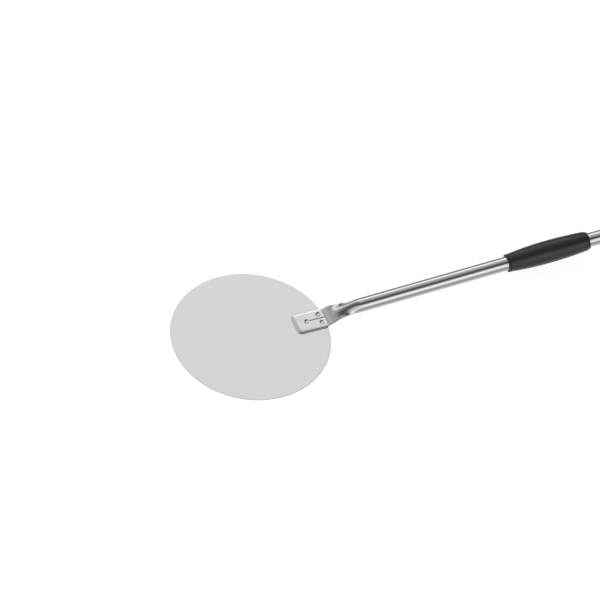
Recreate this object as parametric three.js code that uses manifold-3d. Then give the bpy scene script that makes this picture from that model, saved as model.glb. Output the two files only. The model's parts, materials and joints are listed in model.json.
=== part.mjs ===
// A small round pizza peel: a stainless blade riveted to the flattened end of a long tube handle,
// with a sliding, turning sleeve for the front hand and a moulded end grip for the rear hand.
//
// Lengths are in millimetres. The origin is the centre of the blade's underside, +X runs from
// there towards the handle and +Z is up, on the side that carries the food.

import * as THREE from "three";
import { mergeVertices } from "three/addons/utils/BufferGeometryUtils.js";
import Module from "manifold-3d";

// ---------------------------------------------------------------- driving dimensions

const GAP = 0.25; // play between two pieces that touch on the real peel
const CLINCH_GAP = 0.1; // play between the blade and the rolled heads of the rivets
const FLOOR = 0.05; // how far the tube and the sunk heads stay above the underside's plane

const BLADE = { radius: 100, thickness: 0.8, segments: 144 };

// The seat is the pocket pressed upwards at the rim. The flattened end of the tube lies in it,
// so that the underside of the peel stays flat.
const SEAT = { start: 64.2, halfWidth: 13.7, corner: 4, rise: 2.6, draft: 2.6 };
const SLIT = { start: 78.6, width: 0.8 };

const TUBE = { radius: 9, wall: 1.2, segments: 44 };
const FLAT = { start: 66, corner: 4, endPastRim: 9.5, roundPastRim: 46, fairing: 1.6, pinched: 3 };
const HANDLE = { rise: THREE.MathUtils.degToRad(2.9), length: 1200 };
const JOGGLE = { start: 100.2, end: 122, lead: 2.8, trail: 15 };
const STATION_STEP = 1.8; // between two sections of the tube in the joggle
const FAIRING_STEPS = 11; // sections from the flat end to the round tube

const RIVET = { shank: 2, clinch: 3.3, clinchHeight: 0.75, dish: 2.4, dishDepth: 1.3, sink: 3.6 };
const RIVET_SEGMENTS = 18;
const RIVET_PLACES = [
  ["rivet_front", 75, 0],
  ["rivet_left", 93, 6.5],
  ["rivet_right", 93, -6.5],
];

// Distances along the handle are counted from the rim of the blade.
const SLEEVE = { start: 244.3, length: 109, widest: 54.5, front: 11.15, middle: 14.15, rear: 11.1 };
const RING = { length: 2, front: 11.5, rear: 10.9 };
const END_GRIP = { length: 150, front: 11.6, middle: 14.2, waist: 12.4, tail: 14.4 };
const END_GRIP_AT = { middle: 50, waist: 100, tail: 124, socket: 118 }; // from its front face
const EYE = { fromEnd: 14, radius: 5.5, halfThickness: 6.5, runOut: 12 };
const CROSS_RIVET = { fromFront: 34, shank: 2, head: 3.4, headHeight: 1, reach: 13 };
const TURNED_SEGMENTS = 40;

// ---------------------------------------------------------------- derived places

const STRIP_CENTRE = TUBE.wall; // two walls pressed together, resting on the underside's plane
const handleDirection = new THREE.Vector3(Math.cos(HANDLE.rise), 0, Math.sin(HANDLE.rise));

// The tube is at its lowest where it becomes fully round, and clears the underside's plane there.
const rimHeight =
  FLOOR + TUBE.radius / Math.cos(HANDLE.rise) - Math.tan(HANDLE.rise) * FLAT.roundPastRim;
const rimPoint = new THREE.Vector3(BLADE.radius, 0, rimHeight);

const alongHandle = (distance) => rimPoint.clone().addScaledVector(handleDirection, distance);

// ---------------------------------------------------------------- solids and meshes

const wasm = await Module();
wasm.setup();

// A closed geometry as a solid that can be joined and cut.
function solid(geometry) {
  const bare = geometry.clone();
  bare.deleteAttribute("normal");
  bare.deleteAttribute("uv");
  const merged = mergeVertices(bare, 1e-4);
  return new wasm.Manifold(
    new wasm.Mesh({
      numProp: 3,
      vertProperties: merged.attributes.position.array,
      triVerts: new Uint32Array(merged.index.array),
    }),
  );
}

function geometryOf(made) {
  const mesh = made.getMesh();
  const geometry = new THREE.BufferGeometry();
  geometry.setAttribute("position", new THREE.BufferAttribute(mesh.vertProperties, 3));
  geometry.setIndex(new THREE.BufferAttribute(mesh.triVerts, 1));
  geometry.computeVertexNormals();
  return geometry;
}

// A body turned about X. The profile's points are (radius, distance along X).
function turned(profile, segments) {
  return new THREE.LatheGeometry(profile, segments).rotateZ(-Math.PI / 2);
}

// A body turned about Z. The profile's points are (radius, height).
function turnedUpright(profile, segments) {
  return new THREE.LatheGeometry(profile, segments).rotateX(Math.PI / 2);
}

// A round bar along Z from one height to another, as a cutter or a disc.
function bar(radius, bottom, top, segments = RIVET_SEGMENTS) {
  return new THREE.CylinderGeometry(radius, radius, top - bottom, segments)
    .rotateX(Math.PI / 2)
    .translate(0, 0, (bottom + top) / 2);
}

function block(low, high) {
  const size = high.map((value, axis) => value - low[axis]);
  const middle = high.map((value, axis) => (value + low[axis]) / 2);
  return new THREE.BoxGeometry(...size).translate(...middle);
}

const point = (radius, along) => new THREE.Vector2(radius, along);

// ---------------------------------------------------------------- blade

// The seat's outer form, as a bevelled slab that runs out past the rim.
function seatForm(top) {
  const { start, halfWidth, corner, rise, draft } = SEAT;
  const end = BLADE.radius * 1.3;
  const outline = new THREE.Shape();
  outline.moveTo(end, -halfWidth);
  outline.lineTo(end, halfWidth);
  outline.lineTo(start + corner, halfWidth);
  outline.absarc(start + corner, halfWidth - corner, corner, Math.PI / 2, Math.PI, false);
  outline.absarc(start + corner, corner - halfWidth, corner, Math.PI, Math.PI * 1.5, false);
  const depth = 2 * rise;
  const bevel = { bevelThickness: rise, bevelSize: draft, bevelSegments: 1 };
  const slab = new THREE.ExtrudeGeometry(outline, { depth, curveSegments: 6, ...bevel });
  return slab.translate(0, 0, top - depth - rise);
}

function bladeGeometry() {
  const { radius, thickness, segments } = BLADE;
  const top = thickness + SEAT.rise;
  const sheet = solid(bar(radius, 0, thickness, segments));
  const seat = solid(seatForm(top)).intersect(solid(bar(radius, 0, top, segments)));
  let blade = sheet.add(seat).subtract(solid(seatForm(top - thickness)));
  const slit = block([SLIT.start, -SLIT.width / 2, thickness], [radius * 1.1, SLIT.width / 2, top + 1]);
  blade = blade.subtract(solid(slit));
  for (const [, x, y] of RIVET_PLACES) {
    blade = blade.subtract(solid(bar(RIVET.shank + GAP, 0, top + 1).translate(x, y, 0)));
  }
  return geometryOf(blade);
}

// ---------------------------------------------------------------- handle tube

const tubeEnd = HANDLE.length - END_GRIP.length + END_GRIP_AT.socket;

// The centre line of the tube: level in the seat, up over the joggle, then straight.
function handleLine() {
  const start = new THREE.Vector3(FLAT.start, 0, STRIP_CENTRE);
  const bendStart = new THREE.Vector3(JOGGLE.start, 0, STRIP_CENTRE);
  const bendEnd = alongHandle((JOGGLE.end - BLADE.radius) / Math.cos(HANDLE.rise));
  const leaving = bendStart.clone().add(new THREE.Vector3(JOGGLE.lead, 0, 0));
  const arriving = bendEnd.clone().addScaledVector(handleDirection, -JOGGLE.trail);
  const line = new THREE.CurvePath();
  line.add(new THREE.LineCurve3(start, bendStart));
  line.add(new THREE.CubicBezierCurve3(bendStart, leaving, arriving, bendEnd));
  line.add(new THREE.LineCurve3(bendEnd, alongHandle(tubeEnd)));
  return line;
}

const line = handleLine();
const lineLength = line.getLength();
const rimStation = BLADE.radius - FLAT.start; // the length of the line up to the rim
const flatEnd = rimStation + FLAT.endPastRim;
const roundStart = rimStation + FLAT.roundPastRim;

// Half the tube's height at a station: the two walls where it is flat, then opening to round.
function halfHeight(station) {
  const t = THREE.MathUtils.clamp((station - flatEnd) / (roundStart - flatEnd), 0, 1);
  return TUBE.wall + (TUBE.radius - TUBE.wall) * (1 - (1 - t) ** FLAT.fairing);
}

// How much each edge draws in at the rounded corners of the flat end.
function cornerInset(station) {
  const short = THREE.MathUtils.clamp(FLAT.corner - station, 0, FLAT.corner);
  return FLAT.corner - Math.sqrt(FLAT.corner ** 2 - short ** 2);
}

// Squeezing keeps the tube's girth, so a round section turns into two half rounds joined by flats.
function squeezed(station, radius, angle) {
  if (radius < 1e-6) return [0, 0];
  const half = halfHeight(station) - (TUBE.radius - radius);
  const flat = (Math.PI / 2) * (TUBE.radius - halfHeight(station)) - cornerInset(station);
  const quarterRound = (half * Math.PI) / 2;
  const folded = Math.asin(Math.min(Math.abs(Math.sin(angle)), 1)) / (Math.PI / 2);
  const run = folded * (quarterRound + flat);
  const onRound = run < quarterRound;
  const across = onRound ? flat + half * Math.cos(run / half) : flat - (run - quarterRound);
  const up = onRound ? half * Math.sin(run / half) : half;
  return [Math.cos(angle) < 0 ? -across : across, Math.sin(angle) < 0 ? -up : up];
}

// Moves every vertex of a straight round tube to its place on the squeezed, joggled one.
function formed(geometry) {
  const places = geometry.attributes.position;
  for (let i = 0; i < places.count; i++) {
    const station = places.getX(i);
    const radius = Math.hypot(places.getY(i), places.getZ(i));
    const angle = Math.atan2(places.getZ(i), places.getY(i));
    const [across, up] = squeezed(station, radius, angle);
    const t = THREE.MathUtils.clamp(station / lineLength, 0, 1);
    const centre = line.getPoint(t);
    const tangent = line.getTangent(t);
    places.setXYZ(i, centre.x - tangent.z * up, across, centre.z + tangent.x * up);
  }
  return geometry;
}

function tubeStations() {
  const stations = [0, 0.15, 0.5, 1].map((share) => share * FLAT.corner);
  const bend = JOGGLE.start - FLAT.start;
  for (let s = bend; s < flatEnd; s += STATION_STEP) stations.push(s);
  for (let i = 0; i <= FAIRING_STEPS; i++) {
    stations.push(THREE.MathUtils.lerp(flatEnd, roundStart, i / FAIRING_STEPS));
  }
  stations.push(lineLength);
  return stations;
}

function tubeGeometry() {
  const outside = tubeStations();
  const hollowStart = flatEnd + FLAT.pinched;
  const inside = [hollowStart, ...outside.filter((station) => station > hollowStart + 0.5)];
  const bore = TUBE.radius - TUBE.wall;
  const profile = [
    point(0, 0),
    ...outside.map((station) => point(TUBE.radius, station)),
    ...inside.reverse().map((station) => point(bore, station)),
    point(0, hollowStart),
  ];
  let tube = solid(formed(turned(profile, TUBE.segments)));
  const below = -1;
  const hole = RIVET.shank + GAP;
  const coneTop = RIVET.sink - RIVET.shank + GAP;
  const cone = [
    point(0, below),
    point(hole + coneTop - below, below),
    point(hole, coneTop),
    point(0, coneTop),
  ];
  for (const [, x, y] of RIVET_PLACES) {
    tube = tube.subtract(solid(bar(hole, below, 3 * TUBE.wall).translate(x, y, 0)));
    tube = tube.subtract(solid(turnedUpright(cone, RIVET_SEGMENTS).translate(x, y, 0)));
  }
  const cross = bar(CROSS_RIVET.shank + GAP, -2 * TUBE.radius, 2 * TUBE.radius);
  return geometryOf(tube.subtract(solid(placedOnHandle(cross, crossRivetDistance))));
}

// ---------------------------------------------------------------- rivets

// Set from below: a sunk head level with the underside, and a dished, rolled clinch on top.
function rivetGeometry() {
  const { shank, clinch, clinchHeight, dish, dishDepth, sink } = RIVET;
  const seatTop = BLADE.thickness + SEAT.rise + CLINCH_GAP;
  const top = seatTop + clinchHeight;
  const profile = [
    point(0, FLOOR),
    point(sink, FLOOR),
    point(shank, FLOOR + sink - shank),
    point(shank, seatTop),
    point(clinch - 0.15, seatTop),
    point(clinch, seatTop + clinchHeight / 2),
    point(clinch - 0.45, top - 0.1),
    point((clinch + dish) / 2, top),
    point(dish, top - 0.25),
    point(dish * 0.5, top - dishDepth),
    point(0, top - dishDepth),
  ];
  return turnedUpright(profile, RIVET_SEGMENTS);
}

// ---------------------------------------------------------------- grips on the handle

// Turns a piece made along X, from its own front face, to lie on the handle at a distance.
function placeOnHandle(mesh, distance) {
  mesh.position.copy(alongHandle(distance));
  mesh.rotation.y = -HANDLE.rise;
  return mesh;
}

function placedOnHandle(geometry, distance) {
  const at = alongHandle(distance);
  return geometry.rotateY(-HANDLE.rise).translate(at.x, at.y, at.z);
}

const bore = TUBE.radius + 0.3; // everything that goes over the tube slides on it

// A barrel: slim at the front ring, fullest past the middle, with a rounded rear edge.
function sleeveGeometry() {
  const { length, widest, front, middle, rear } = SLEEVE;
  const body = length - 2 * RING.length - 2 * GAP;
  const crown = widest - RING.length;
  const edge = 2;
  const outline = new THREE.Path();
  outline.moveTo(bore, 0);
  outline.lineTo(front - 0.2, 0);
  outline.lineTo(front, 0.4);
  outline.quadraticCurveTo(middle, crown / 2, middle, crown);
  outline.quadraticCurveTo(middle, (crown + body) / 2, rear + edge / 2, body - edge);
  outline.quadraticCurveTo(rear + edge / 2.5, body, rear, body);
  outline.lineTo(bore, body);
  outline.closePath();
  return turned(outline.getPoints(7), TURNED_SEGMENTS);
}

// A collar that travels with the sleeve at one end of it. The sleeve turns between the two.
function ringGeometry(radius) {
  const chamfer = 0.4;
  const profile = [
    point(bore, 0),
    point(radius - chamfer, 0),
    point(radius, chamfer),
    point(radius, RING.length - chamfer),
    point(radius - chamfer, RING.length),
    point(bore, RING.length),
    point(bore, 0),
  ];
  return turned(profile, TURNED_SEGMENTS);
}

// Goes on from one radius to another in an even curve, level at both ends.
function swell(outline, [radius, along], [nextRadius, nextAlong]) {
  const halfway = (along + nextAlong) / 2;
  outline.bezierCurveTo(radius, halfway, nextRadius, halfway, nextRadius, nextAlong);
}

const endGripStart = HANDLE.length - END_GRIP.length;
const crossRivetDistance = endGripStart + CROSS_RIVET.fromFront;

// The grip that closes the handle: a swelling for the palm, a flared tail and a hanging eye.
function endGripGeometry() {
  const { length, front, middle, waist, tail } = END_GRIP;
  const at = END_GRIP_AT;
  const edge = 1;
  const outline = new THREE.Path();
  outline.moveTo(0, at.socket + GAP);
  outline.lineTo(bore, at.socket + GAP);
  outline.lineTo(bore, 0);
  outline.lineTo(front - edge, 0);
  outline.quadraticCurveTo(front, 0, front, edge);
  swell(outline, [front, edge], [middle, at.middle]);
  swell(outline, [middle, at.middle], [waist, at.waist]);
  swell(outline, [waist, at.waist], [tail, at.tail]);
  outline.absellipse(0, at.tail, tail, length - at.tail, 0, Math.PI / 2, false);
  let grip = solid(turned(outline.getPoints(5), TURNED_SEGMENTS));

  const eye = length - EYE.fromEnd;
  const flatStart = eye - EYE.radius - 4;
  for (const side of [-1, 1]) {
    const lows = [flatStart, -tail - 1, side > 0 ? EYE.halfThickness : -tail - 1];
    const highs = [length + 1, tail + 1, side > 0 ? tail + 1 : -EYE.halfThickness];
    const runOut = bar(EYE.runOut, -tail - 1, tail + 1, TURNED_SEGMENTS)
      .rotateX(Math.PI / 2)
      .translate(flatStart, 0, side * (EYE.halfThickness + EYE.runOut));
    grip = grip.subtract(solid(block(lows, highs))).subtract(solid(runOut));
  }
  grip = grip.subtract(solid(bar(EYE.radius, -tail - 1, tail + 1, TURNED_SEGMENTS).translate(eye, 0, 0)));
  grip = grip.subtract(crossRivetHole());
  return geometryOf(grip);
}

function crossRivetHole() {
  const { fromFront, shank, head, headHeight, reach } = CROSS_RIVET;
  const outside = 2 * END_GRIP.middle;
  const seat = reach - headHeight - GAP;
  const through = solid(bar(shank + GAP, -outside, outside));
  const upper = solid(bar(head + GAP, seat, outside));
  const lower = solid(bar(head + GAP, -outside, -seat));
  return through.add(upper).add(lower).translate([fromFront, 0, 0]);
}

// A plain rivet across the end grip and the tube. Its low heads lie just inside the grip's surface.
function crossRivetGeometry() {
  const { shank, head, headHeight, reach } = CROSS_RIVET;
  const seat = reach - headHeight;
  const shoulder = reach - headHeight / 2;
  const crown = head * 0.7;
  const profile = [
    point(0, -reach),
    point(crown, -reach),
    point(head, -shoulder),
    point(head, -seat),
    point(shank, -seat),
    point(shank, seat),
    point(head, seat),
    point(head, shoulder),
    point(crown, reach),
    point(0, reach),
  ];
  return turnedUpright(profile, RIVET_SEGMENTS);
}

// ---------------------------------------------------------------- materials

const satinSteel = { color: 0xd6d6d6, roughness: 0.42, metalness: 1 };
const polishedSteel = { color: 0xcacaca, roughness: 0.16, metalness: 1 };
const rivetSteel = { color: 0xbababa, roughness: 0.3, metalness: 1 };
const gripPolymer = { color: 0x363636, roughness: 0.55, metalness: 0 };
const ringPolymer = { color: 0x161616, roughness: 0.5, metalness: 0 };

// ---------------------------------------------------------------- the peel

const peel = new THREE.Group();

function add(name, geometry, finish) {
  const mesh = new THREE.Mesh(geometry, new THREE.MeshStandardMaterial(finish));
  mesh.name = name;
  peel.add(mesh);
  return mesh;
}

add("blade", bladeGeometry(), satinSteel);
add("handle_tube", tubeGeometry(), polishedSteel);
for (const [name, x, y] of RIVET_PLACES) {
  add(name, rivetGeometry(), rivetSteel).position.set(x, y, 0);
}

const sleeveStart = SLEEVE.start + RING.length + GAP;
const rearRingStart = SLEEVE.start + SLEEVE.length - RING.length;
placeOnHandle(add("grip_ring_front", ringGeometry(RING.front), ringPolymer), SLEEVE.start);
placeOnHandle(add("sliding_grip", sleeveGeometry(), gripPolymer), sleeveStart);
placeOnHandle(add("grip_ring_rear", ringGeometry(RING.rear), ringPolymer), rearRingStart);

placeOnHandle(add("end_grip", endGripGeometry(), gripPolymer), endGripStart);
placeOnHandle(add("cross_rivet", crossRivetGeometry(), rivetSteel), crossRivetDistance);

export default peel;
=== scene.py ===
"""The looks of a pizza peel: a riveted stainless blade on a long tube with two polymer grips.

Lengths are in millimetres until a mesh is made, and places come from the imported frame.
"""

import json
import math

import bmesh
import bpy
import numpy as np
from mathutils import Matrix, Vector
from mathutils.geometry import delaunay_2d_cdt


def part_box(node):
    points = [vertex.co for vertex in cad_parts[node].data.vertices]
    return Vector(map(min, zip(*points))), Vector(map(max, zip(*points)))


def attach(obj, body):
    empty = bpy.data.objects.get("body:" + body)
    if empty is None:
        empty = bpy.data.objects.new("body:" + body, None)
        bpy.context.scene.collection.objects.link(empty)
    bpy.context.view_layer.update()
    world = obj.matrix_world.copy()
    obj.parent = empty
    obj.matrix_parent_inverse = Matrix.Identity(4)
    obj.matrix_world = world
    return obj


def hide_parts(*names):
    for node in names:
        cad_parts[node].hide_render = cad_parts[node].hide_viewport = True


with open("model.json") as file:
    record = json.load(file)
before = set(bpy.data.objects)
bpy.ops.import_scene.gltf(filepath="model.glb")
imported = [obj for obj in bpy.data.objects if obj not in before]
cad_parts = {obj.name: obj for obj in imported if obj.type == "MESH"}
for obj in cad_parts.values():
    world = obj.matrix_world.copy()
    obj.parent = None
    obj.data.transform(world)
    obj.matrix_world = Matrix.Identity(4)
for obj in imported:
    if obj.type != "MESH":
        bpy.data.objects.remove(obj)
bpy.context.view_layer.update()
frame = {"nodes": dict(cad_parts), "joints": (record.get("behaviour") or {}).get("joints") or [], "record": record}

MM = 0.001

# ---------------------------------------------------------------- places taken from the frame

JOINTS = {joint["name"]: joint for joint in frame["joints"]}
HANDLE_AXIS = Vector(JOINTS["grip_spin"]["axis"]).normalized()
AXIS_POINT = Vector(JOINTS["grip_spin"]["pos_m"]) / MM
COLOURS = {row["slot"]: (*row["base_color"], 1.0) for row in frame["record"]["materials"]}

BLADE_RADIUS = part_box("blade")[1].y / MM
SEAT_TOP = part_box("blade")[1].z / MM
STRIP_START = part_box("handle_tube")[0].x / MM
RIM_POINT = AXIS_POINT + HANDLE_AXIS * ((BLADE_RADIUS - AXIS_POINT.x) / HANDLE_AXIS.x)

# The handle's own frame: X runs along it from the rim of the blade, and Y stays level.
HANDLE_FRAME = Matrix(
    (
        (HANDLE_AXIS.x, 0, -HANDLE_AXIS.z, RIM_POINT.x),
        (0, 1, 0, 0),
        (HANDLE_AXIS.z, 0, HANDLE_AXIS.x, RIM_POINT.z),
        (0, 0, 0, 1),
    )
)


def span_on_handle(node):
    """Where a CAD node starts and ends along the handle, from the rim."""
    back = HANDLE_FRAME.inverted()
    along = [(back @ (vertex.co / MM)).x for vertex in frame["nodes"][node].data.vertices]
    return min(along), max(along)


def middle_of(node):
    low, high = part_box(node)
    return (low + high) / 2 / MM


# ---------------------------------------------------------------- driving dimensions

SHEET = {"thickness": 0.8, "edge": 0.25, "rim_step": 0.7}
SEAT = {"half_width": 11.3, "start": 62.9, "corner": 1.6, "end_slope": 4.6}
SEAT_WALL = {"steepness": math.radians(80), "foot_arc": 0.6, "top_arc": 0.5, "crown": 2.3}
CROWN_FALL = {"left": 0.17, "right": 0.03}  # how steeply the seat's top falls off towards each side
SLIT = {"start": 78.6, "half_width": 0.4}

TUBE = {"radius": 9.0, "wall": 1.2, "sides": 144}
FLAT = {"corner": 4.0, "end_past_rim": 9.5, "round_past_rim": 46.0, "fairing": 1.6, "peak": 6.0}
JOGGLE = {"start": 100.2, "end": 122.0, "lead": 2.8, "trail": 15.0}

RIVET = {"shank": 2.0, "sink": 3.6, "floor": 0.05, "dish_slope": math.radians(34)}
ROLL = {"centre": 2.82, "radius": 0.36}

SLEEVE = {"front": 11.15, "middle": 14.15, "rear": 11.1, "crown": 0.5}
RING = {"front": 11.5, "rear": 10.9, "rounding": 0.45}
BORE = 9.3
MOULD_LINE = {"height": 0.06, "half_width": 0.35}

END_GRIP = {"front": 11.6, "middle": 14.2, "waist": 12.4, "tail": 14.4}
END_GRIP_AT = {"middle": 50.0, "waist": 100.0, "tail": 124.0, "socket": 118.25}
EYE = {"from_end": 14.0, "radius": 5.5, "half_thickness": 6.5, "run_out": 12.0, "rounding": 1.2}
CROSS_RIVET = {"shank": 2.0, "head": 3.4, "head_height": 1.0, "play": 0.25}

# The camera stands far off, so that its picture is nearly without perspective.
CAMERA = {
    "azimuth": math.radians(-31.42),
    "elevation": math.radians(50.11),
    "roll": math.radians(11.01),
    "distance": 30.0,
    "view_width": 0.7396,
    "right_of_blade": 0.0611,
    "above_blade": 0.0458,
    "sensor": 36.0,
}

# ---------------------------------------------------------------- meshes


def arc(centre, radius, start, end, steps):
    """Points on a circle from one angle to another, in degrees."""
    angles = np.radians(np.linspace(start, end, steps + 1))
    return [(centre[0] + radius * math.cos(a), centre[1] + radius * math.sin(a)) for a in angles]


def bezier(points, steps):
    """Points on a Bezier curve of any order, without its first point."""
    order = len(points) - 1
    controls = np.array(points, float)
    out = []
    for t in np.linspace(0, 1, steps + 1)[1:]:
        weights = [math.comb(order, k) * t**k * (1 - t) ** (order - k) for k in range(order + 1)]
        out.append(tuple(np.array(weights) @ controls))
    return out


def revolved(profile, segments):
    """Points (radius, along) turned about X. They end on the axis or close on themselves."""
    verts = []
    faces = []
    rings = []
    for radius, along in profile:
        start = len(verts)
        count = 1 if radius < 1e-6 else segments
        for i in range(count):
            angle = 2 * math.pi * i / segments
            verts.append((along, radius * math.cos(angle), radius * math.sin(angle)))
        rings.append(range(start, start + count))
    pairs = list(zip(rings, rings[1:]))
    if len(rings[0]) > 1:
        pairs.append((rings[-1], rings[0]))
    for one, other in pairs:
        for i in range(segments):
            j = (i + 1) % segments
            near = (one[i % len(one)], one[j % len(one)])
            corners = (*near, other[j % len(other)], other[i % len(other)])
            face = list(dict.fromkeys(corners))
            if len(face) > 2:
                faces.append(face)
    return np.array(verts), faces


def upright(verts):
    """Turns what was made along X to stand along Z."""
    return np.stack([verts[:, 1], verts[:, 2], verts[:, 0]], axis=1)


def make_object(name, verts, faces, place=None):
    """A mesh object from millimetres, moved to its place, with its faces pointing out."""
    points = np.asarray(verts, float)
    if place is not None:
        turn = np.array(place.to_3x3())
        points = points @ turn.T + np.array(place.translation)
    mesh = bpy.data.meshes.new(name)
    mesh.from_pydata([tuple(v) for v in points * MM], [], [list(f) for f in faces])
    shape = bmesh.new()
    shape.from_mesh(mesh)
    bmesh.ops.recalc_face_normals(shape, faces=shape.faces)
    shape.to_mesh(mesh)
    shape.free()
    made = bpy.data.objects.new(name, mesh)
    bpy.context.scene.collection.objects.link(made)
    return made


def cut(piece, cutter):
    """Takes the cutter's form out of the piece, and removes the cutter."""
    modifier = piece.modifiers.new("cut", "BOOLEAN")
    modifier.object = cutter
    modifier.operation = "DIFFERENCE"
    modifier.solver = "EXACT"
    bpy.context.view_layer.update()
    evaluated = piece.evaluated_get(bpy.context.evaluated_depsgraph_get())
    mesh = bpy.data.meshes.new_from_object(evaluated)
    piece.modifiers.clear()
    piece.data = mesh
    bpy.data.objects.remove(cutter)


def settle(piece, node, material, sharp=35):
    """Shades the piece, and lets it stand for its CAD node on the node's own body."""
    piece.data.shade_smooth()
    piece.data.set_sharp_from_angle(angle=math.radians(sharp))
    piece.data.materials.clear()
    piece.data.materials.append(material)
    bodies = frame["record"]["behaviour"]["bodies"]
    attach(piece, next(body for body, nodes in bodies.items() if node in nodes))
    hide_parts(node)
    return piece


# ---------------------------------------------------------------- materials


def add_node(tree, kind, inputs=None, **settings):
    """A shader node with its settings, and each input linked or set."""
    made = tree.nodes.new("ShaderNode" + kind)
    for key, value in settings.items():
        setattr(made, key, value)
    for key, value in (inputs or {}).items():
        if isinstance(value, bpy.types.NodeSocket):
            tree.links.new(value, made.inputs[key])
        else:
            made.inputs[key].default_value = value
    return made


def noise(tree, longer, scale, detail=3.0, roughness=0.5):
    """Noise in the piece's own coordinates, turned to the handle and drawn out along each axis."""
    where = add_node(tree, "TexCoord").outputs["Object"]
    turn = (0.0, -math.asin(HANDLE_AXIS.z), 0.0)
    settings = {"Vector": where, "Rotation": turn, "Scale": longer}
    drawn = add_node(tree, "Mapping", settings, vector_type="TEXTURE").outputs["Vector"]
    values = {"Vector": drawn, "Scale": scale, "Detail": detail, "Roughness": roughness}
    return add_node(tree, "TexNoise", values).outputs["Fac"]


def spread(tree, value, low, high, start=0.3, end=0.7):
    """A value between start and end, brought to the range from low to high."""
    inputs = {"Value": value, "From Min": start, "From Max": end, "To Min": low, "To Max": high}
    return add_node(tree, "MapRange", inputs).outputs["Result"]


def bump(tree, height, strength, depth, under=None):
    inputs = {"Height": height, "Strength": strength, "Distance": depth * MM}
    if under is not None:
        inputs["Normal"] = under
    return add_node(tree, "Bump", inputs).outputs["Normal"]


def grey(value):
    return (value, value, value, 1.0)


def tinted(tree, colour, value, dark):
    """The colour, varied down to a share of itself by a value from 0 to 1."""
    darker = (*(channel * dark for channel in colour[:3]), 1.0)
    mixed = add_node(tree, "Mix", data_type="RGBA")
    tree.links.new(value, mixed.inputs[0])
    mixed.inputs[6].default_value = darker
    mixed.inputs[7].default_value = colour
    return mixed.outputs[2]


def blended(tree, share, one, other):
    """One colour where the share is 0, and the other where it is 1."""
    mixed = add_node(tree, "Mix", data_type="RGBA")
    tree.links.new(share, mixed.inputs[0])
    for socket, value in ((mixed.inputs[6], one), (mixed.inputs[7], other)):
        if isinstance(value, bpy.types.NodeSocket):
            tree.links.new(value, socket)
        else:
            socket.default_value = grey(value)
    return mixed.outputs[2]


def new_material(name):
    made = bpy.data.materials.new(name)
    made.use_nodes = True
    made.node_tree.nodes.clear()
    return made, made.node_tree


def finish_material(tree, inputs):
    surface = add_node(tree, "BsdfPrincipled", inputs)
    output = add_node(tree, "OutputMaterial")
    tree.links.new(surface.outputs["BSDF"], output.inputs["Surface"])


def painted_wall_shade(tree):
    """1 on the steep walls of the pressed seat, where shade is painted in as a darker colour, and 0 elsewhere."""
    where = add_node(tree, "TexCoord")
    facing = add_node(tree, "SeparateXYZ", {"Vector": where.outputs["Normal"]}).outputs["Z"]
    level = add_node(tree, "SeparateXYZ", {"Vector": where.outputs["Object"]}).outputs["Z"]
    steep = spread(tree, facing, 1.0, 0.0, 0.30, 0.92)
    above = spread(tree, level, 0.0, 1.0, 0.8 * MM, 1.0 * MM)
    return add_node(tree, "Math", {0: steep, 1: above}, operation="MULTIPLY").outputs[0]


def steel(name, colour, roughness, lines, line_depth, unevenness, drawn=0.0):
    """Stainless steel: fine lines along X, cloudy gloss, faint handling scratches across it."""
    material, tree = new_material(name)
    clouds = noise(tree, (1.0, 1.0, 1.0), 22.0, 4.0, 0.6)
    grain = noise(tree, (80.0, 1.0, 1.0), lines, 5.0, 0.65)
    broad = noise(tree, (20.0, 1.0, 1.0), lines * 0.12, 2.0)
    across = noise(tree, (1.0, 30.0, 2.5), lines * 0.35, 1.0)
    scratches = spread(tree, across, 0.0, 1.0, 0.70, 0.76)
    cloudy = spread(tree, clouds, -unevenness, unevenness)
    streaky = spread(tree, grain, -unevenness, unevenness)
    gloss = add_node(tree, "Math", {0: cloudy, 1: roughness}, operation="ADD")
    uneven = add_node(tree, "Math", {0: gloss.outputs[0], 1: streaky}, operation="ADD").outputs[0]
    lined = bump(tree, grain, 0.5, line_depth)
    rolled = bump(tree, broad, 0.25, line_depth, lined)
    worn = bump(tree, scratches, 0.3, -line_depth, rolled)
    surface_colour = tinted(tree, colour, spread(tree, broad, 0.0, 1.0), 0.985)
    # Painted shade: the seat's steep walls get the darker colour given by drawn, standing in for the shade along
    # the wall.
    if drawn:
        surface_colour = blended(tree, painted_wall_shade(tree), surface_colour, drawn)
    inputs = {
        "Base Color": surface_colour,
        "Metallic": 1.0,
        "Roughness": uneven,
        "Normal": worn,
    }
    finish_material(tree, inputs)
    return material


def polymer(name, colour, roughness, grain_size, grain_depth, specular):
    """Moulded polymer with a spark-eroded grain, and rubbed patches that shine a little more."""
    material, tree = new_material(name)
    grain = noise(tree, (1.0, 1.0, 1.0), 1 / (grain_size * MM), 3.0, 0.7)
    pits = noise(tree, (1.0, 1.0, 1.0), 0.35 / (grain_size * MM), 2.0)
    rubbed = noise(tree, (2.0, 1.0, 1.0), 55.0, 3.0)
    gloss = spread(tree, rubbed, roughness + 0.04, roughness - 0.04)
    fine = bump(tree, grain, 0.6, grain_depth)
    inputs = {
        "Base Color": tinted(tree, colour, spread(tree, pits, 0.0, 1.0), 0.86),
        "Roughness": gloss,
        "Specular IOR Level": specular,
        "Normal": bump(tree, pits, 0.4, grain_depth, fine),
    }
    finish_material(tree, inputs)
    return material


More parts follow.
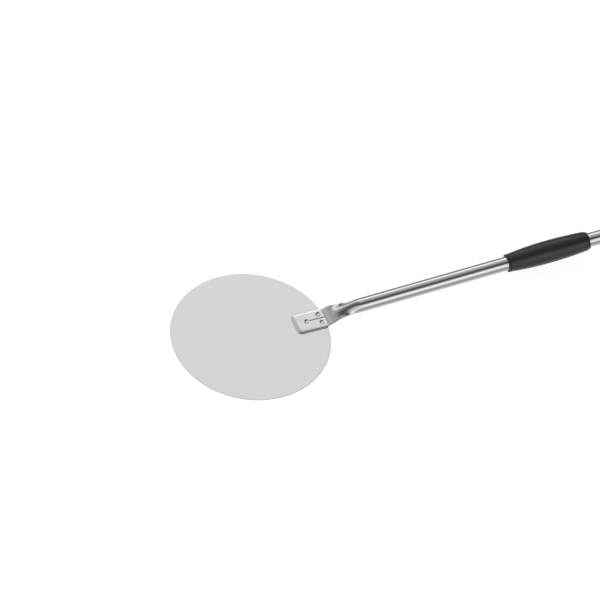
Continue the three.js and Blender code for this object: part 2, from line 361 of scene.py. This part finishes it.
# The blade's last value, 0.20, is the colour painted on the seat's steep walls as shade.
BLADE_STEEL = steel("satin_blade_steel", grey(0.87), 0.20, 900.0, 0.004, 0.010, 0.20)
TUBE_STEEL = steel("polished_tube_steel", COLOURS["tube_steel"], 0.11, 1300.0, 0.0015, 0.02)
RIVET_STEEL = steel("bright_rivet_steel", grey(0.94), 0.07, 1600.0, 0.002, 0.01)
GRIP_POLYMER = polymer("grained_grip_polymer", grey(0.021), 0.38, 0.32, 0.015, 0.8)
RING_POLYMER = polymer("smooth_ring_polymer", COLOURS["ring_polymer"], 0.38, 0.5, 0.01, 0.5)

# ---------------------------------------------------------------- blade


def side_profile(fall):
    """Points (distance out, height) from the flat's edge, over the crown, down the wall to its foot."""
    steep = SEAT_WALL["steepness"]
    crown = SEAT_WALL["crown"]
    rise = SEAT_TOP - SHEET["thickness"]
    soften = 0.3
    points = [(out, rise - fall * out**2 / (out + soften)) for out in np.linspace(0, crown, 9)]
    lean = math.atan(fall * (1 - (soften / (crown + soften)) ** 2))
    top, foot = SEAT_WALL["top_arc"], SEAT_WALL["foot_arc"]
    out, height = points[-1]
    for turn in np.linspace(lean, steep, 8)[1:]:
        away = top * (math.sin(turn) - math.sin(lean))
        points.append((out + away, height - top * (math.cos(lean) - math.cos(turn))))
    out, height = points[-1]
    foot_height = foot * (1 - math.cos(steep))
    out += (height - foot_height) / math.tan(steep)
    points.append((out, foot_height))
    for turn in np.linspace(steep, 0, 7)[1:]:
        points.append((out + foot * (math.sin(steep) - math.sin(turn)), foot * (1 - math.cos(turn))))
    return points


LEFT_SIDE = side_profile(CROWN_FALL["left"])
RIGHT_SIDE = side_profile(CROWN_FALL["right"])
SLOPE = LEFT_SIDE[-1][0]


def pressed_height(share, direction, side):
    """How high the pressed form stands: a steep wall along its sides, a soft slope at its end."""
    outs, heights = zip(*side)
    steep = np.interp(share * outs[-1], outs, heights)
    soft = heights[0] * (0.5 + 0.5 * math.cos(math.pi * min(max(share, 0.0), 1.0)))
    end = math.cos(direction) ** 2
    return soft * end + steep * (1 - end)


def slope_width(direction):
    """The width of the wall: gentle at the seat's inner end, steep along its sides."""
    return SEAT["end_slope"] * math.cos(direction) ** 2 + SLOPE * math.sin(direction) ** 2


def sheet_height(x, y):
    """The height of the blade's upper face."""
    back = max(SEAT["start"] + SEAT["corner"] - x, 0.0)
    side = max(abs(y) - SEAT["half_width"] + SEAT["corner"], 0.0)
    outside = math.hypot(back, side) - SEAT["corner"]
    direction = math.atan2(side, back)
    profile = LEFT_SIDE if y > 0 else RIGHT_SIDE
    return SHEET["thickness"] + pressed_height(outside / slope_width(direction), direction, profile)


def seat_outline(share, radius):
    """The seat's outline, a share of the wall's width out from its top edge, up to the rim."""
    corner_x = SEAT["start"] + SEAT["corner"]
    corner_y = SEAT["half_width"] - SEAT["corner"]
    quarter = []
    for direction in np.radians(np.linspace(90, 0, 13)):
        reach = SEAT["corner"] + share * slope_width(direction)
        quarter.append((corner_x - reach * math.cos(direction), corner_y + reach * math.sin(direction)))
    edge_y = quarter[0][1]
    rim = (math.sqrt(radius**2 - edge_y**2), edge_y)
    half = [rim, *quarter]
    return half + [(x, -y) for x, y in reversed(half)]


def wall_shares():
    """Where the mesh needs a line on the wall: along its bends, and just outside them."""
    guard = 0.15
    return [out / SLOPE for out in [-guard, *(out for out, _ in LEFT_SIDE), SLOPE + guard]]


def circle(centre, radius, count):
    return [(centre[0] + x, centre[1] + y) for x, y in arc((0, 0), radius, 0, 360, count)[:-1]]


def blade_plan():
    """The blade's outline with its slit, the rivet holes, and the lines where its height changes."""
    edge = SHEET["edge"]
    radius = BLADE_RADIUS - edge
    half_slit = SLIT["half_width"] + edge
    outlines = [seat_outline(share, radius) for share in wall_shares()]
    slit_angle = math.degrees(math.asin(half_slit / radius))
    angles = list(np.arange(slit_angle, 360 - slit_angle, SHEET["rim_step"])) + [360 - slit_angle]
    for outline in outlines:
        meets = math.degrees(math.asin(outline[0][1] / radius))
        angles += [meets, 360 - meets]
    turns = np.radians(sorted(angles))
    rim = [(radius * math.cos(a), radius * math.sin(a)) for a in turns]
    slit_end = arc((SLIT["start"] + half_slit, 0), half_slit, 270, 90, 10)
    boundary = rim + slit_end
    holes = []
    for node in ("rivet_front", "rivet_left", "rivet_right"):
        holes.append(circle(middle_of(node)[:2], RIVET["shank"] + edge, 40))
    level_margin = 0.3
    guards = [drawn_in(loop, level_margin) for loop in [boundary, *(hole[::-1] for hole in holes)]]
    return boundary, holes, outlines, guards


def drawn_in(loop, distance):
    """A closed outline moved to its left, which keeps the shading of the flats level up to there."""
    edges = [(i, (i + 1) % len(loop)) for i in range(len(loop))]
    steps = outward_steps(loop, edges)
    return [(x - steps[i].x * distance, y - steps[i].y * distance) for i, (x, y) in enumerate(loop)]


def inside(point, loop):
    """Whether a point lies inside a closed outline."""
    a = np.array(loop)
    b = np.roll(a, -1, axis=0)
    crosses = (a[:, 1] > point[1]) != (b[:, 1] > point[1])
    with np.errstate(divide="ignore", invalid="ignore"):
        at = a[:, 0] + (point[1] - a[:, 1]) * (b[:, 0] - a[:, 0]) / (b[:, 1] - a[:, 1])
    return np.count_nonzero(crosses & (point[0] < at)) % 2 == 1


def triangulated(boundary, holes, open_lines, rings):
    """Triangles that fill the outline but not its holes, with edges along all the given lines."""
    points = []
    edges = []
    closed_lines = [boundary, *holes, *rings]
    for line, closed in [(c, True) for c in closed_lines] + [(o, False) for o in open_lines]:
        start = len(points)
        points += line
        last = len(points) - 1
        edges += [(i, i + 1) for i in range(start, last)]
        if closed:
            edges.append((last, start))
    flat = [Vector(p) for p in points]
    verts, _, faces, _, _, _ = delaunay_2d_cdt(flat, edges, [], 0, 1e-5)
    kept = []
    for face in faces:
        centre = sum((verts[i] for i in face), Vector((0, 0))) / len(face)
        if inside(centre, boundary) and not any(inside(centre, hole) for hole in holes):
            kept.append(face)
    return [tuple(v) for v in verts], kept


def outline_edges(faces):
    """The edges that only one face has, in that face's direction."""
    directed = {(a, b) for face in faces for a, b in zip(face, face[1:] + face[:1])}
    return [(a, b) for a, b in directed if (b, a) not in directed]


def outward_steps(plan, edges):
    """For each outline vertex, the step outwards that moves both of its edges by one unit."""
    normals = {}
    for a, b in edges:
        along = Vector(plan[b]) - Vector(plan[a])
        normal = Vector((along.y, -along.x)).normalized()
        normals.setdefault(a, []).append(normal)
        normals.setdefault(b, []).append(normal)
    steps = {}
    for index, (one, other) in normals.items():
        steps[index] = (one + other) / max(1 + one.dot(other), 0.5)
    return steps


def blade_sheet():
    """The pressed sheet: upper face, underside, and a rounded edge around every outline."""
    boundary, holes, outlines, guards = blade_plan()
    plan, faces = triangulated(boundary, holes, outlines, guards)
    thickness = SHEET["thickness"]
    edge = SHEET["edge"]
    count = len(plan)
    tops = [(x, y, sheet_height(x, y)) for x, y in plan]
    verts = tops + [(x, y, z - thickness) for x, y, z in tops]
    solid = [list(face) for face in faces] + [[i + count for i in reversed(face)] for face in faces]

    edges = outline_edges(solid[: len(faces)])
    steps = outward_steps(plan, edges)
    turns = np.radians((30, 60, 90))
    drops = [(math.sin(a), edge * (1 - math.cos(a))) for a in turns]
    drops += [(out, thickness - drop) for out, drop in reversed(drops)]
    columns = {}
    for index, step in steps.items():
        x, y, z = tops[index]
        columns[index] = [index]
        for out, drop in drops:
            columns[index].append(len(verts))
            verts.append((x + step.x * edge * out, y + step.y * edge * out, z - drop))
        columns[index].append(index + count)
    for a, b in edges:
        for k in range(len(drops) + 1):
            solid.append([columns[b][k], columns[a][k], columns[a][k + 1], columns[b][k + 1]])
    return verts, solid


# ---------------------------------------------------------------- handle tube

STRIP_CENTRE = TUBE["wall"]
RIM_STATION = BLADE_RADIUS - STRIP_START
FLAT_END = RIM_STATION + FLAT["end_past_rim"]
ROUND_START = RIM_STATION + FLAT["round_past_rim"]


def handle_line():
    """Dense points on the tube's centre line: level in the seat, up the joggle, then straight."""
    start = (STRIP_START, STRIP_CENTRE)
    bend = (JOGGLE["start"], STRIP_CENTRE)
    level_end = (JOGGLE["start"] + JOGGLE["lead"], STRIP_CENTRE)
    bend_end = RIM_POINT + HANDLE_AXIS * ((JOGGLE["end"] - BLADE_RADIUS) / HANDLE_AXIS.x)
    arriving = bend_end - HANDLE_AXIS * JOGGLE["trail"]
    tube_end = RIM_POINT + HANDLE_AXIS * span_on_handle("handle_tube")[1]
    curve = bezier([bend, level_end, (arriving.x, arriving.z), (bend_end.x, bend_end.z)], 80)
    return np.array([start, bend, *curve, (tube_end.x, tube_end.z)])


def squeezed_section(station):
    """The tube's outline across at a station: flat, then flat wings with a dome that grows round."""
    wall, radius = TUBE["wall"], TUBE["radius"]
    share = min(max((station - FLAT_END) / (ROUND_START - FLAT_END), 0.0), 1.0)
    opened = 1 - (1 - share) ** FLAT["fairing"]
    short = min(max(FLAT["corner"] - station, 0.0), FLAT["corner"])
    inset = FLAT["corner"] - math.sqrt(FLAT["corner"] ** 2 - short**2)
    girth_half = math.pi / 2 * (radius - wall) * (1 - opened)
    reach = girth_half + wall + (radius - wall) * opened - inset
    wing = wall * (1 - opened**2)
    dome = (radius - wing) * (1 - (1 - share**1.5) ** 1.8) + (wall - wing) * (1 - opened)
    peak = 1 + FLAT["peak"] * (1 - share) ** 1.5
    section = []
    for i in range(TUBE["sides"]):
        angle = 2 * math.pi * i / TUBE["sides"]
        across = reach * abs(math.cos(angle))
        past = max(across - reach + wing, 0.0)
        up = math.sqrt(max(wing**2 - past**2, 0.0)) + dome * abs(math.sin(angle)) ** peak
        section.append((math.copysign(across, math.cos(angle)), math.copysign(up, math.sin(angle))))
    return section


def tube_stations(length):
    corner = [FLAT["corner"] * share for share in (0, 0.02, 0.06, 0.12, 0.2, 0.3, 0.45, 0.65, 0.85, 1)]
    level = list(np.arange(6, JOGGLE["start"] - STRIP_START, 4.0))
    forming = list(np.arange(JOGGLE["start"] - STRIP_START, ROUND_START + 4, 0.5))
    return corner + level + forming + list(np.linspace(ROUND_START + 6, length, 60))


def tube_skin():
    line = handle_line()
    runs = np.concatenate([[0], np.cumsum(np.hypot(*np.diff(line, axis=0).T))])
    stations = tube_stations(runs[-1])
    beside = 0.3
    verts = []
    for station in stations:
        x, z = (np.interp(station, runs, line[:, k]) for k in (0, 1))
        before, after = max(station - beside, 0), min(station + beside, runs[-1])
        ends = [[np.interp(at, runs, line[:, k]) for k in (0, 1)] for at in (before, after)]
        ahead = np.subtract(ends[1], ends[0])
        ahead /= np.linalg.norm(ahead)
        for across, up in squeezed_section(station):
            verts.append((x - ahead[1] * up, across, z + ahead[0] * up))
    sides = TUBE["sides"]
    faces = [list(range(sides)), list(range(len(verts) - sides, len(verts)))]
    for row in range(len(stations) - 1):
        for i in range(sides):
            j = (i + 1) % sides
            a, b = row * sides, (row + 1) * sides
            faces.append([a + i, a + j, b + j, b + i])
    back = HANDLE_FRAME.inverted()
    return [tuple(back @ Vector(v)) for v in verts], faces


def countersink(node):
    """The form of a rivet's hole from below, for cutting the strip."""
    x, y, _ = middle_of(node)
    hole = RIVET["shank"] + 0.05
    below = -1.0
    cone_top = RIVET["sink"] - RIVET["shank"]
    over = 3 * TUBE["wall"]
    profile = [(0, below), (hole + cone_top - below, below), (hole, cone_top), (hole, over), (0, over)]
    verts, faces = revolved(profile, 64)
    return make_object("cutter", upright(verts) + np.array([x, y, 0]), faces)


# ---------------------------------------------------------------- rivets


def rivet_form():
    """From below: sunk head, shank, and a clinch rolled outwards around a round dish."""
    shank, sink, floor = RIVET["shank"], RIVET["sink"], RIVET["floor"]
    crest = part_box("rivet_front")[1].z / MM
    roll = (ROLL["centre"], crest - ROLL["radius"])
    under = SEAT_TOP + 0.05
    profile = [(0, floor), (sink - 0.15, floor), (sink, floor + 0.1), (shank, floor + sink - shank)]
    profile += [(shank, under), (ROLL["centre"], under)]
    slope = RIVET["dish_slope"]
    profile += arc(roll, ROLL["radius"], -60, 90 + math.degrees(slope), 20)
    lip, lip_height = profile[-1]
    hollow = lip / math.sin(slope)
    for turn in np.linspace(slope, 0, 16)[1:]:
        drop = hollow * (math.cos(turn) - math.cos(slope))
        profile.append((hollow * math.sin(turn), lip_height - drop))
    verts, faces = revolved(profile, 72)
    return upright(verts), faces


# ---------------------------------------------------------------- grips


def ridged(verts, reach):
    """Raises two fine mould lines along a turned piece, on opposite sides."""
    raised = np.array(verts, float)
    radius = np.hypot(raised[:, 1], raised[:, 2])
    beside = np.abs(raised[:, 2])
    lift = MOULD_LINE["height"] * np.exp(-((beside / MOULD_LINE["half_width"]) ** 2))
    lift = np.where(radius > reach, lift, 0.0)
    raised[:, 1] += np.sign(raised[:, 1]) * lift
    return raised


def sleeve_form():
    """A barrel with rounded ends on the tube's bore."""
    start, end = span_on_handle("sliding_grip")
    length = end - start
    front, middle, rear = SLEEVE["front"], SLEEVE["middle"], SLEEVE["rear"]
    crown = length * SLEEVE["crown"]
    rounding = 0.5
    tail = 2.0
    profile = [(BORE + 0.2, 0), (front - rounding, 0)]
    profile += bezier([(front - rounding, 0), (front - 0.05, 0), (front, rounding)], 5)
    profile += bezier([(front, rounding), (middle, crown / 2), (middle, crown)], 60)
    shoulder = rear + tail / 2
    profile += bezier([(middle, crown), (middle, (crown + length) / 2), (shoulder, length - tail)], 60)
    profile += bezier([(shoulder, length - tail), (shoulder - 0.2, length), (rear, length)], 10)
    profile += [(BORE + 0.2, length), (BORE, length - 0.2), (BORE, 0.2)]
    verts, faces = revolved(profile, 256)
    return ridged(verts, BORE + 0.3) + np.array([start, 0, 0]), faces


def ring_form(node, radius):
    """A collar with rounded corners."""
    start, end = span_on_handle(node)
    corner = RING["rounding"]
    along_axis = [(start + corner, radius - corner, 180, 90), (end - corner, radius - corner, 90, 0)]
    profile = [(BORE, start)]
    for along, out, first, last in along_axis:
        profile += [(r, a) for a, r in arc((along, out), corner, first, last, 6)]
    profile += [(BORE, end)]
    return revolved(profile, 128)


def end_grip_profile(length):
    """Radius against distance: a swelling for the palm, a waist, and a rounded tail."""
    names = ("middle", "waist", "tail")
    edge = 1.0
    profile = [(0, END_GRIP_AT["socket"]), (BORE, END_GRIP_AT["socket"]), (BORE, 0.3), (BORE + 0.3, 0)]
    profile += [(END_GRIP["front"] - edge, 0)]
    profile += bezier([profile[-1], (END_GRIP["front"], 0), (END_GRIP["front"], edge)], 6)
    for name in names:
        radius, along = profile[-1]
        target, at = END_GRIP[name], END_GRIP_AT[name]
        halfway = (along + at) / 2
        profile += bezier([(radius, along), (radius, halfway), (target, halfway), (target, at)], 48)
    tail, at = END_GRIP["tail"], END_GRIP_AT["tail"]
    for turn in np.radians(np.linspace(0, 90, 41))[1:-1]:
        profile.append((tail * math.cos(turn), at + (length - at) * math.sin(turn)))
    return profile + [(0, length)]


def flattened(verts, length):
    """Presses the tail flat above and below around the eye, running out towards the waist."""
    pressed = np.array(verts, float)
    flat_start = length - EYE["from_end"] - EYE["radius"] - 4
    back = np.clip(flat_start - pressed[:, 0], 0, EYE["run_out"])
    limit = EYE["half_thickness"] + EYE["run_out"] - np.sqrt(EYE["run_out"] ** 2 - back**2)
    limit = np.where(pressed[:, 0] < flat_start - EYE["run_out"], 1e3, limit)
    side = np.abs(pressed[:, 2])
    blend = 0.9
    nearness = np.clip((blend - np.abs(side - limit)) / blend, 0, 1)
    pressed[:, 2] = np.sign(pressed[:, 2]) * (np.minimum(side, limit) - nearness**2 * blend / 4)
    return pressed


def eye_cutter(length):
    """The hanging eye, flared to round its edges."""
    rounding = EYE["rounding"]
    flat = EYE["half_thickness"]
    lip = [
        (EYE["radius"] + rounding * (1 - math.cos(a)), flat - rounding * (1 - math.sin(a)))
        for a in np.radians(np.linspace(0, 84, 9))
    ]
    far = (EYE["radius"] + rounding, flat + 4)
    profile = [(0, -far[1]), (far[0], -far[1])]
    profile += [(r, -y) for r, y in reversed(lip)] + lip
    profile += [far, (0, far[1])]
    verts, faces = revolved(profile, 96)
    return upright(verts) + np.array([length - EYE["from_end"], 0, 0]), faces


def head_recess(at, side, reach):
    """Where a head of the cross rivet lies just under the grip's surface."""
    radius = CROSS_RIVET["head"] + CROSS_RIVET["play"]
    floor = reach - CROSS_RIVET["head_height"] - 0.1
    outside = 3 * END_GRIP["middle"]
    profile = [(0, floor), (radius, floor), (radius, outside), (0, outside)]
    verts, faces = revolved(profile, 64)
    standing = upright(verts)
    standing[:, 2] *= side
    return standing + np.array([at, 0, 0]), faces


def end_grip_object():
    start, end = span_on_handle("end_grip")
    length = end - start
    here = HANDLE_FRAME @ Matrix.Translation((start, 0, 0))
    verts, faces = revolved(end_grip_profile(length), 256)
    flat = flattened(verts, length)
    inner = np.hypot(verts[:, 1], verts[:, 2]) < BORE + 0.1
    inner &= verts[:, 0] < END_GRIP_AT["socket"] + 0.1
    flat[inner] = verts[inner]
    grip = make_object("end_grip_surface", flat, faces, here)
    cut(grip, make_object("cutter", *eye_cutter(length), here))
    rivet_at = sum(span_on_handle("cross_rivet")) / 2 - start
    for side in (-1, 1):
        cut(grip, make_object("cutter", *head_recess(rivet_at, side, cross_reach()), here))
    return grip


def cross_reach():
    """Half the cross rivet's length: its top is this far above the handle's axis."""
    back = HANDLE_FRAME.inverted()
    return max((back @ (vertex.co / MM)).z for vertex in frame["nodes"]["cross_rivet"].data.vertices)


def cross_rivet_form():
    """A shank with a low domed head at each end."""
    reach = cross_reach()
    shank, head, height = CROSS_RIVET["shank"], CROSS_RIVET["head"], CROSS_RIVET["head_height"]
    dome = bezier([(head, reach - height * 0.55), (head * 0.95, reach), (0, reach)], 14)
    upper = [(shank, reach - height), (head - 0.1, reach - height), (head, reach - height + 0.1)]
    upper += [(head, reach - height * 0.55), *dome]
    lower = [(r, -along) for r, along in reversed(upper)]
    return revolved(lower + upper, 72)


# ---------------------------------------------------------------- the peel


def build_peel():
    blade = make_object("blade_surface", *blade_sheet())
    settle(blade, "blade", BLADE_STEEL, 40)

    tube = make_object("tube_surface", *tube_skin(), HANDLE_FRAME)
    for node in ("rivet_front", "rivet_left", "rivet_right"):
        cut(tube, countersink(node))
        verts, faces = rivet_form()
        place = Matrix.Translation((*middle_of(node)[:2], 0))
        settle(make_object(node + "_surface", verts, faces, place), node, RIVET_STEEL, 50)
    settle(tube, "handle_tube", TUBE_STEEL)

    settle(make_object("sleeve_surface", *sleeve_form(), HANDLE_FRAME), "sliding_grip", GRIP_POLYMER)
    for end in ("front", "rear"):
        node = "grip_ring_" + end
        ring = make_object(node + "_surface", *ring_form(node, RING[end]), HANDLE_FRAME)
        settle(ring, node, RING_POLYMER)

    settle(end_grip_object(), "end_grip", GRIP_POLYMER)
    verts, faces = cross_rivet_form()
    across = HANDLE_FRAME @ Matrix.Translation((sum(span_on_handle("cross_rivet")) / 2, 0, 0))
    cross_rivet = make_object("cross_rivet_surface", upright(verts), faces, across)
    settle(cross_rivet, "cross_rivet", RIVET_STEEL, 50)


# ---------------------------------------------------------------- studio

# What polished steel mirrors from all around it: soft boxes and darker gaps that run parallel
# to the handle. Each row is an angle about +X, from +Y over the top, then the light at the
# grip's end of the studio and the light at the blade's end.
STUDIO_BANDS = (
    (-159, 0.30, 0.42),
    (-143, 0.45, 0.50),
    (-124, 0.60, 0.60),
    (-95, 0.80, 0.70),
    (-30, 0.90, 0.70),
    (-12, 0.50, 0.45),
    (2, 0.09, 0.38),
    (13, 0.05, 0.45),
    (27, 0.82, 0.62),
    (43, 1.34, 0.95),
    (51, 0.95, 0.42),
    (58, 0.66, 0.38),
    (66, 0.50, 0.33),
    (76, 0.45, 0.20),
    (88, 0.36, 0.10),
    (99, 0.12, 0.10),
    (116, 0.08, 0.12),
    (125, 0.13, 0.30),
    (137, 0.60, 0.60),
    (149, 1.16, 0.75),
    (161, 1.07, 0.70),
    (173, 0.80, 0.60),
)
STUDIO_SEAM = (0.54, 0.52)  # the light level with the handle on its -Y side, where the turn closes
STUDIO_BLADE_END = 0.60
STUDIO_GRIP_END = 0.08


def band_ramp(tree, turn, column):
    """The bands' light round one full turn, for the grip's end (0) or the blade's end (1)."""
    ramp = add_node(tree, "ValToRGB", {"Fac": turn})
    bands = ramp.color_ramp
    bands.elements.remove(bands.elements[-1])
    bands.elements[0].position = 0.0
    bands.elements[0].color = grey(STUDIO_SEAM[column])
    for row in STUDIO_BANDS:
        made = bands.elements.new((row[0] + 180) / 360)
        made.color = grey(row[column + 1])
    bands.elements.new(1.0).color = grey(STUDIO_SEAM[column])
    return ramp.outputs["Color"]


def studio_world():
    """Soft boxes and gaps along the handle, dimmer or brighter past its ends, on a white backdrop."""
    world = bpy.data.worlds.new("studio")
    bpy.context.scene.world = world
    world.use_nodes = True
    tree = world.node_tree
    tree.nodes.clear()
    direction = add_node(tree, "TexCoord").outputs["Generated"]
    parts = add_node(tree, "SeparateXYZ", {"Vector": direction})
    angle = add_node(tree, "Math", {0: parts.outputs["Z"], 1: parts.outputs["Y"]}, operation="ARCTAN2")
    turn = spread(tree, angle.outputs[0], 0.0, 1.0, -math.pi, math.pi)
    toward_grip = spread(tree, parts.outputs["X"], 0.0, 1.0, 0.0, 0.26)
    bands = blended(tree, toward_grip, band_ramp(tree, turn, 1), band_ramp(tree, turn, 0))
    past_blade = spread(tree, parts.outputs["X"], 1.0, 0.0, -0.75, -0.35)
    far_side = spread(tree, parts.outputs["X"], 0.0, 1.0, 0.41, 0.52)
    above = spread(tree, parts.outputs["Z"], 0.0, 1.0, 0.28, 0.36)
    past_grip = add_node(tree, "Math", {0: far_side, 1: above}, operation="MULTIPLY").outputs[0]
    one_end = blended(tree, past_blade, bands, STUDIO_BLADE_END)
    lit = blended(tree, past_grip, one_end, STUDIO_GRIP_END)
    seen = add_node(tree, "LightPath").outputs["Is Camera Ray"]
    backdrop = 0.97
    surface = add_node(tree, "Background", {"Color": blended(tree, seen, lit, backdrop)})
    output = add_node(tree, "OutputWorld")
    tree.links.new(surface.outputs["Background"], output.inputs["Surface"])


def studio_floor():
    """A plain pale floor. Polished pieces mirror the studio in place of it."""
    reach = 60000
    verts = [(-reach, -reach, 0), (reach, -reach, 0), (reach, reach, 0), (-reach, reach, 0)]
    under_blade = np.array([0, 0, 0.3])
    floor = make_object("studio_floor", np.array(verts) - under_blade, [(0, 1, 2, 3)])
    floor.visible_glossy = False
    material, tree = new_material("pale_floor")
    inputs = {
        "Base Color": grey(0.40),
        "Roughness": 0.9,
        "Specular IOR Level": 0.0,
        "Emission Color": grey(1.0),
        "Emission Strength": 0.87,
    }
    finish_material(tree, inputs)
    floor.data.materials.append(material)


def studio_light():
    """One wide soft light from the upper left of the picture."""
    lamp = bpy.data.lights.new("soft_key", "SUN")
    lamp.energy = 0.4
    lamp.angle = math.radians(50)
    key = bpy.data.objects.new("soft_key", lamp)
    towards = Vector((-0.55, 0.25, 1.0))
    key.rotation_euler = towards.to_track_quat("Z", "Y").to_euler()
    key.visible_glossy = False
    bpy.context.scene.collection.objects.link(key)


def camera():
    azimuth, elevation, roll = CAMERA["azimuth"], CAMERA["elevation"], CAMERA["roll"]
    level = math.cos(elevation)
    back = Vector((math.sin(azimuth) * level, -math.cos(azimuth) * level, math.sin(elevation)))
    flat_right = Vector((math.cos(azimuth), math.sin(azimuth), 0))
    flat_up = back.cross(flat_right)
    right = flat_right * math.cos(roll) + flat_up * math.sin(roll)
    up = back.cross(right)
    target = right * CAMERA["right_of_blade"] + up * CAMERA["above_blade"]
    lens = bpy.data.cameras.new("camera")
    lens.sensor_width = CAMERA["sensor"]
    lens.lens = CAMERA["sensor"] * CAMERA["distance"] / CAMERA["view_width"]
    lens.clip_start = 1.0
    lens.clip_end = 2 * CAMERA["distance"]
    made = bpy.data.objects.new("camera", lens)
    turned = Matrix((right, up, back)).transposed().to_4x4()
    made.matrix_world = Matrix.Translation(target + back * CAMERA["distance"]) @ turned
    bpy.context.scene.collection.objects.link(made)
    bpy.context.scene.camera = made


camera()
build_peel()
studio_floor()
studio_world()
studio_light()
bpy.context.scene.view_settings.view_transform = "Standard"
